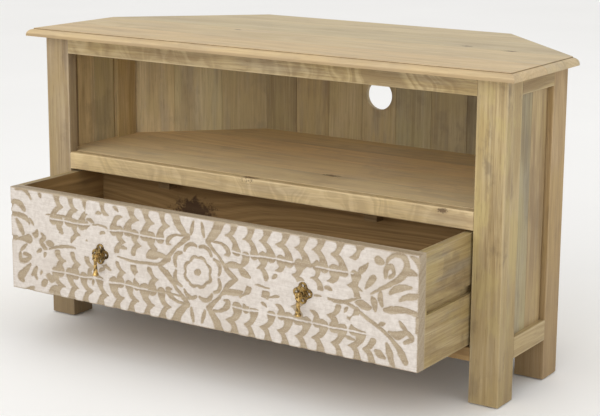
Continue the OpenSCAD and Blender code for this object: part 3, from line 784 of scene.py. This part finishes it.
# %% Places left plain, long strokes and small chips
plain((-238, 80, 17, 34), (-222, 30, 34, 22), (-390, 78, 26, 22), (-262, 8, 30, 12), (-298, 30, 14, 9))
plain((130, -33, 38, 13), (346, -32, 34, 14), (338, 78, 9, 14), (222, -6, 40, 13), (232, 38, 12, 9))
plain((-330, 16, 22, 10), (-215, -36, 16, 10), (-128, -30, 12, 11), (180, 14, 30, 7))
leaves(
    [(-350, 56, 0.6), (-310, 58, 1.8), (-262, 56, 1.0), (-256, 66, 1.8), (-250, 70, 0.6)],
    [(-236, 49, 0.5), (-218, 53, 1.4), (-205, 51, 0.5)],
    [(200, 48, 1.0), (215, 50, 2.8), (235, 49, 2.2), (248, 56, 3.4)],
    [(-112, -49, 0.6), (-60, -49, 1.5), (-20, -52, 0.7)],
    [(300, -60, 1.0), (312, -63, 2.6), (322, -64, 0.8)],
)
SMALL_CUTS = 120
for x, z in zip(dice.uniform(-370, 330, SMALL_CUTS), dice.uniform(-90, 90, SMALL_CUTS)):
    room = gap[np.searchsorted(rows, z), np.searchsorted(columns, x)]
    wanted = 5.5 if x < -150 else 8.0
    if room > wanted and abs(z) > 14 and abs(x) > 95 and abs(abs(z) - 49) > 5:
        turn, long, wide = dice.uniform(0, math.pi), dice.uniform(5, 10), dice.uniform(1.8, 3.4)
        dx, dz = long * math.cos(turn), long * math.sin(turn) * 0.6
        gouge((x - dx, z - dz, 0.4), (x, z + 1.5, wide), (x + dx, z + dz, 0.6 * wide))
print("long strokes and small chips cut")

# %% Rosette, pointed frame and drops
gouge((-1, 0, 5.2), (1, 0, 5.2))
PETALS, PETAL_RINGS = 8, ((25.5, 18.5, 2.6), (46.5, 17.5, 3.4))
for k in range(PETALS):
    middle = math.radians((k + 0.5) * 360 / PETALS)
    for ring, half, width in PETAL_RINGS:
        petal = []
        for s in (-1, -0.5, 0, 0.5, 1):
            turn, far = middle + math.radians(half * s), ring * (1 + (1 - s * s) * 0.11)
            petal.append((far * math.cos(turn), far * math.sin(turn), width * (1 - 0.4 * s * s)))
        gouge(*petal)
four_ways((23, 61, 4.6), (34, 49, 3.2), (46, 37, 2.4), (58, 22, 2.8), (70, 10, 4.4), (84, 1, 2.6))
four_ways((14, 66, 1.8), (11, 76, 3.6), (8, 88, 1.8))
four_ways((22, 60, 4.0), (34, 72, 6.8), (43, 84, 8.4), (50, 100, 9.0))
four_ways((34, 62, 1.6), (50, 60, 2.2), (62, 52, 4.6), (66, 42, 4.0), (58, 40, 1.2))
leaves(
    [(58, 21, 2.0), (76, 24, 5.6), (92, 26, 3.0), (100, 38, 5.0), (104, 45, 1.4)],
    [(88, 20, 2.0), (98, 14, 6.4), (110, 8, 2.0)],
    [(52, -30, 1.4), (66, -24, 4.4), (84, -23, 5.0), (96, -20, 2.0)],
    [(-62, 12, 3.4), (-82, 18, 4.0), (-98, 17, 7.8), (-110, 10, 2.0)],
    [(-66, -8, 2.0), (-60, -18, 4.6), (-50, -28, 3.4)],
)
print("rosette cut")

# %% Stem and the right end
leaves(
    [(-180, 2, 0.8), (-140, -2, 1.8), (-100, 0, 2.2), (-78, 5, 2.4), (-60, 13, 2.6)],
    [(-345, -9, 0.8), (-325, -2, 2.4), (-300, 1, 2.0), (-282, 1, 0.6)],
    [(124, -2, 0.5), (138, -2, 1.4), (152, -3, 0.5)],
    [(236, -3, 0.5), (246, -2, 1.3), (256, -2, 0.5)],
    [(270, -1, 1.0), (286, -3, 3.0), (304, -3, 2.4), (318, 3, 1.6), (332, 9, 0.7)],
    [(304, -4, 1.8), (334, -16, 2.4), (372, -36, 2.6), (396, -55, 3.0), (410, -70, 6.0), (418, -82, 5.0)],
    [(352, 20, 0.8), (374, 32, 2.6), (392, 45, 3.4), (412, 60, 5.2), (418, 76, 4.4), (410, 90, 4.0),
     (396, 92, 3.4), (384, 84, 2.6), (380, 74, 1.0)],
    [(412, 62, 3.0), (424, 66, 4.8), (434, 64, 1.6)],
    [(378, 52, 3.0), (380, 66, 4.0), (390, 72, 3.6), (394, 60, 2.6), (386, 53, 2.4)],
    [(362, 84, 1.0), (366, 78, 7.0), (374, 76, 2.0)],
    [(322, -1, 1.0), (334, -1, 6.6), (346, -3, 4.6), (352, -2, 1.0)],
    [(354, 14, 2.0), (358, 6, 5.6), (360, -6, 2.0)],
    [(370, 24, 2.0), (370, 14, 4.6), (374, 4, 2.4)],
    [(378, -2, 2.0), (394, -1, 6.0), (412, 2, 5.0), (434, 0, 4.2)],
    [(388, 26, 2.0), (398, 36, 5.0), (414, 42, 4.0), (426, 43, 1.2)],
    [(406, 18, 1.6), (416, 26, 4.6), (432, 30, 4.8), (440, 34, 2.0)],
    [(366, -28, 0.8), (372, -26, 3.2), (378, -24, 1.0)],
    [(406, -18, 1.0), (412, -26, 3.4), (420, -33, 1.6)],
    [(386, -38, 2.0), (402, -42, 6.4), (420, -36, 3.6), (430, -44, 4.0), (416, -52, 2.6)],
    [(362, -76, 1.6), (370, -80, 5.4), (380, -84, 2.0)],
    [(382, -60, 2.0), (388, -72, 5.0), (392, -86, 4.4), (396, -94, 1.4)],
    [(438, -6, 2.0), (440, -18, 3.6), (438, -30, 2.0)],
    [(426, 92, 2.0), (436, 86, 4.6), (440, 78, 3.0)],
    [(334, 22, 0.8), (322, 28, 4.6), (322, 40, 6.4), (326, 47, 7.0)],
    [(342, 28, 1.0), (350, 38, 5.0), (356, 46, 5.6)],
    [(334, 57, 5.0), (342, 64, 3.6), (346, 70, 1.0)],
    [(338, -76, 0.5), (350, -71, 4.4), (357, -61, 5.8)],
    [(338, -76, 0.5), (350, -81, 4.4), (356, -94, 5.6)],
)
print("stem and right end cut")

# %% The left end
leaves(
    [(-426, 96, 2.0), (-408, 97, 4.0), (-396, 88, 2.6), (-388, 80, 1.0)],
    [(-440, 60, 3.0), (-432, 71, 3.6), (-418, 68, 5.4), (-406, 58, 4.6)],
    [(-440, 46, 3.2), (-420, 46, 4.2), (-402, 42, 4.6), (-394, 34, 2.0)],
    [(-428, 36, 2.0), (-420, 24, 5.4), (-414, 12, 3.4)],
    [(-392, 42, 0.8), (-386, 36, 2.6), (-382, 32, 0.8)],
    [(-424, 0, 1.8), (-410, 2, 5.6), (-398, 3, 9.0)],
    [(-440, 1, 3.2), (-430, 1, 4.0)],
    [(-386, 14, 2.0), (-378, 14, 5.6), (-374, 22, 2.0)],
    [(-364, 18, 1.4), (-358, 10, 4.0), (-366, 2, 3.6), (-358, -8, 4.2), (-352, -10, 1.4)],
    [(-352, 2, 1.4), (-344, 1, 6.0), (-336, 1, 2.0)],
    [(-418, -24, 2.0), (-412, -18, 3.4), (-404, -10, 1.4)],
    [(-420, -30, 2.6), (-418, -42, 3.6), (-404, -42, 3.2), (-394, -33, 3.0), (-410, -30, 2.6)],
    [(-376, -20, 1.4), (-370, -16, 3.4), (-366, -14, 1.0)],
    [(-394, -48, 2.0), (-408, -60, 5.4), (-420, -72, 7.4), (-414, -80, 3.0)],
    [(-392, -66, 1.6), (-384, -60, 4.2), (-378, -50, 2.2), (-384, -60, 4.0), (-380, -72, 2.0)],
    [(-366, -84, 2.0), (-360, -78, 6.4), (-354, -72, 2.0)],
    [(-352, -62, 3.0), (-342, -66, 6.8), (-336, -60, 2.4)],
    [(-344, -92, 4.0), (-336, -84, 5.0), (-330, -78, 1.6)],
    [(-408, -98, 2.0), (-394, -94, 4.4), (-388, -90, 1.6)],
)
print("left end cut; share of the face cut away:", round(float((gap < 0).mean()), 3))

# %% Heights of the face
CUT_DEPTH, SHOULDER, WALL_RUN = 2.2, 0.35, 1.6
PLATE_ROUND = 21.0
RIM_ROUNDING, RIM_RUN = 1.2, 2.5
stud_low, stud_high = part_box("pull_stud_right")
pull_x = (stud_low.x + stud_high.x) / 2 * 1000
near_pull = np.hypot(np.abs(across) - pull_x, up)
gap = np.where(near_pull < PLATE_ROUND, np.maximum(gap, PLATE_ROUND - near_pull), gap)
wall = np.clip(0.5 - gap / WALL_RUN, 0, 1)
wall = wall * wall * (3 - 2 * wall)
shoulder = SHOULDER * np.exp(-np.clip(gap, 0, None) / WALL_RUN) * (1 - wall)
scoop = slow_waves(across, up, 9, 0.16, 9) * wall
unevenness = 0.12 + slow_waves(across, up, 30, 0.07, 9)
rim_gap = np.minimum(FACE_W / 2 - np.abs(across), FACE_H / 2 - np.abs(up))
rounding = RIM_ROUNDING * np.clip(1 - rim_gap / RIM_RUN, 0, 1) ** 2
depth = np.clip(wall * CUT_DEPTH + shoulder + scoop + unevenness + rounding, 0.02, None)
print("deepest cut", round(float(depth.max()), 2), "mm")

# %% The board: carved face, back and edges in one closed mesh
wide, high = len(columns), len(rows)
middle_z = (front_low.z + front_high.z) / 2
face = np.stack([across / 1000, front_low.y + depth / 1000, up / 1000 + middle_z], -1).reshape(-1, 3)
back = [(x / 1000, front_high.y, z / 1000 + middle_z) for z in rows[[0, -1]] for x in columns]
points = np.concatenate([face, back])
spot = np.arange(wide * high).reshape(high, wide)
tail = wide * high + np.arange(2 * wide).reshape(2, wide)


def strip(first, second):
    return np.stack([first[:-1], first[1:], second[1:], second[:-1]], -1)


faces = np.stack([spot[:-1, :-1], spot[:-1, 1:], spot[1:, 1:], spot[1:, :-1]], -1).reshape(-1, 4)
faces = [*faces, *strip(tail[0], spot[0]), *strip(spot[-1], tail[1]), *strip(tail[1], tail[0])]
faces += [[*spot[::-1, 0], tail[0, 0], tail[1, 0]], [*spot[:, -1], tail[1, -1], tail[0, -1]]]
carved = make_mesh("carved_front", points, faces)
smooth = np.zeros(len(carved.data.polygons), bool)
smooth[: (wide - 1) * (high - 1)] = True
carved.data.polygons.foreach_set("use_smooth", smooth)
print("carved front has", len(carved.data.vertices), "points")

# %% [markdown]
# The paint was brushed on and then rubbed back, so it lies where the board wasn't cut and is thin
# near the edges of the cuts. A noise texture can't know where the cuts are, but the field does:
# its paint and its wear are kept on the mesh as two attributes, and the material reads them.


# %% Where the whitewash lies
def keep_on_points(piece, name, values):
    layer = piece.data.attributes.new(name, "FLOAT", "POINT")
    layer.data.foreach_set("value", np.asarray(values, np.float32))


PAINT_EDGE, BARE_RIM, RUBBED_BY_CUTS, RUBBED_BY_RIM = 1.4, 1.5, 2.2, 3.0
spare = np.zeros(2 * wide)
painted = np.clip(0.5 + (gap - 0.1) / PAINT_EDGE, 0, 1) * np.clip(rim_gap / BARE_RIM, 0, 1)
rubbed = np.exp(-np.clip(gap, 0, None) / RUBBED_BY_CUTS) + np.exp(-rim_gap / RUBBED_BY_RIM)
keep_on_points(carved, "painted", np.concatenate([painted.ravel(), spare]))
keep_on_points(carved, "rubbed", np.concatenate([np.clip(rubbed, 0, 1).ravel(), spare]))
print("painted share of the face:", round(float(painted.mean()), 3))

# %% Whitewash over tan wood
TAN_PALE, TAN_DARK, TAN_FIBRE = (0.41, 0.33, 0.225), (0.32, 0.245, 0.155), (0.25, 0.175, 0.10)
LIME_IN_CUTS, STAINED_WHITE = (0.58, 0.50, 0.41), (0.52, 0.455, 0.39)
WHITE, WORN_WHITE = (0.660, 0.606, 0.553), (0.545, 0.487, 0.432)


def carved_finish():
    f = Finish("whitewash_over_tan")
    g = grain(f, "X", 12.3)
    x, y, z = g["place"]
    painted = f.add("Attribute", {"attribute_name": "painted"}, None, "Fac")
    rubbed = f.add("Attribute", {"attribute_name": "rubbed"}, None, "Fac")
    where = f.vector(x, y, z)
    chips = f.noise(where, 420.0, 3.0, 0.65)
    brush = f.noise(f.vector(x * 22.0, y * 40.0, z * 700.0), 1.0, 3.0, 0.6)
    stain = f.noise(where, 9.0, 4.0, 0.6)
    patch = f.noise(where, 110.0, 4.0, 0.7)
    tan = f.blend(f.fade(g["rings"], 0.3, 0.7), TAN_PALE, TAN_DARK)
    tan = f.blend(f.fade(g["fibre"], 0.45, 0.8) * 0.4, tan, TAN_FIBRE)
    tan = f.blend(f.fade(chips, 0.50, 0.70) * 0.45, tan, LIME_IN_CUTS)
    white = f.blend(f.fade(brush * 0.35 + patch * 0.65, 0.38, 0.62), WHITE, WORN_WHITE)
    white = f.blend(f.fade(stain, 0.46, 0.66) * 0.45, white, STAINED_WHITE)
    bare = f.fade(x, -0.10, -0.40) * 0.05
    rub = f.fade(chips * 0.50 + brush * 0.30 + rubbed * 0.40 + stain * 0.20 + bare, 0.66, 0.86)
    cover = (painted - rub * 0.60).most(0.0)
    colour = f.blend(cover, tan, white)
    rough = 0.62 + cover * 0.12
    return f.close(colour, rough, brush * 0.5 + chips * 0.5, 0.00025)


carved.data.materials.append(carved_finish())
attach(carved, "drawer")
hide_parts("drawer_front")
print("carved front rides on the drawer")

# %% [markdown]
# ## Metal and plastic
#
# The pulls are cast brass, left dark in the hollows and rubbed bright where fingers reach. A
# metal's colour is its Base Color, so tarnish is a blend from gold to dark brown, and the same
# noise makes the dark places rougher. The hidden screws and nuts are zinc-plated steel and the
# floor glides are black nylon.


# %% Brass
BRASS_GOLD, BRASS_DARK = (0.52, 0.35, 0.13), (0.085, 0.055, 0.025)


def antique_brass(name, bright):
    f = Finish(name)
    x, y, z = f.place()
    where = f.vector(x, y, z)
    cast = f.noise(where, 420.0, 4.0, 0.6)
    tarnish = f.fade(f.noise(where, 150.0, 4.0, 0.65), 0.36, 0.66)
    gold, dark = (tuple(bright * part for part in metal) for metal in (BRASS_GOLD, BRASS_DARK))
    colour = f.blend(tarnish, gold, dark)
    return f.close(colour, 0.30 + tarnish * 0.32, cast, 0.0002, Metallic=1.0)


plate_brass, drop_brass = antique_brass("plate_brass", 0.85), antique_brass("drop_brass", 1.35)
for node in nodes:
    if node.startswith(("pull_plate", "pull_stud")):
        dress(node, plate_brass)
    if node.startswith(("pull_pendant", "pull_pin")):
        dress(node, drop_brass)
print("pulls dressed in brass")


# %% Zinc and nylon
ZINC_PALE, ZINC_DARK = (0.66, 0.66, 0.68), (0.48, 0.48, 0.49)
NYLON_DARK, NYLON_PALE = (0.018, 0.018, 0.018), (0.035, 0.034, 0.033)


def speckled(name, first, second, scale, detail, rough, bump_depth, **uniform):
    f = Finish(name)
    speck = f.noise(f.vector(*f.place()), scale, detail)
    colour = f.blend(speck, first, second)
    return f.close(colour, rough[0] + speck * rough[1], speck, bump_depth, **uniform)


zinc_plate = speckled("zinc_plate", ZINC_PALE, ZINC_DARK, 900.0, 3.0, (0.32, 0.2), 0.00005, Metallic=1.0)
black_nylon = speckled("black_nylon", NYLON_DARK, NYLON_PALE, 1200.0, 2.0, (0.5, 0.15), 0.00008)
for node in ("runner_screws", "cleat_screws", "panel_screws", "pull_washers", "pull_nuts"):
    dress(node, zinc_plate)
dress("floor_glides", black_nylon)
print("metal and plastic done")
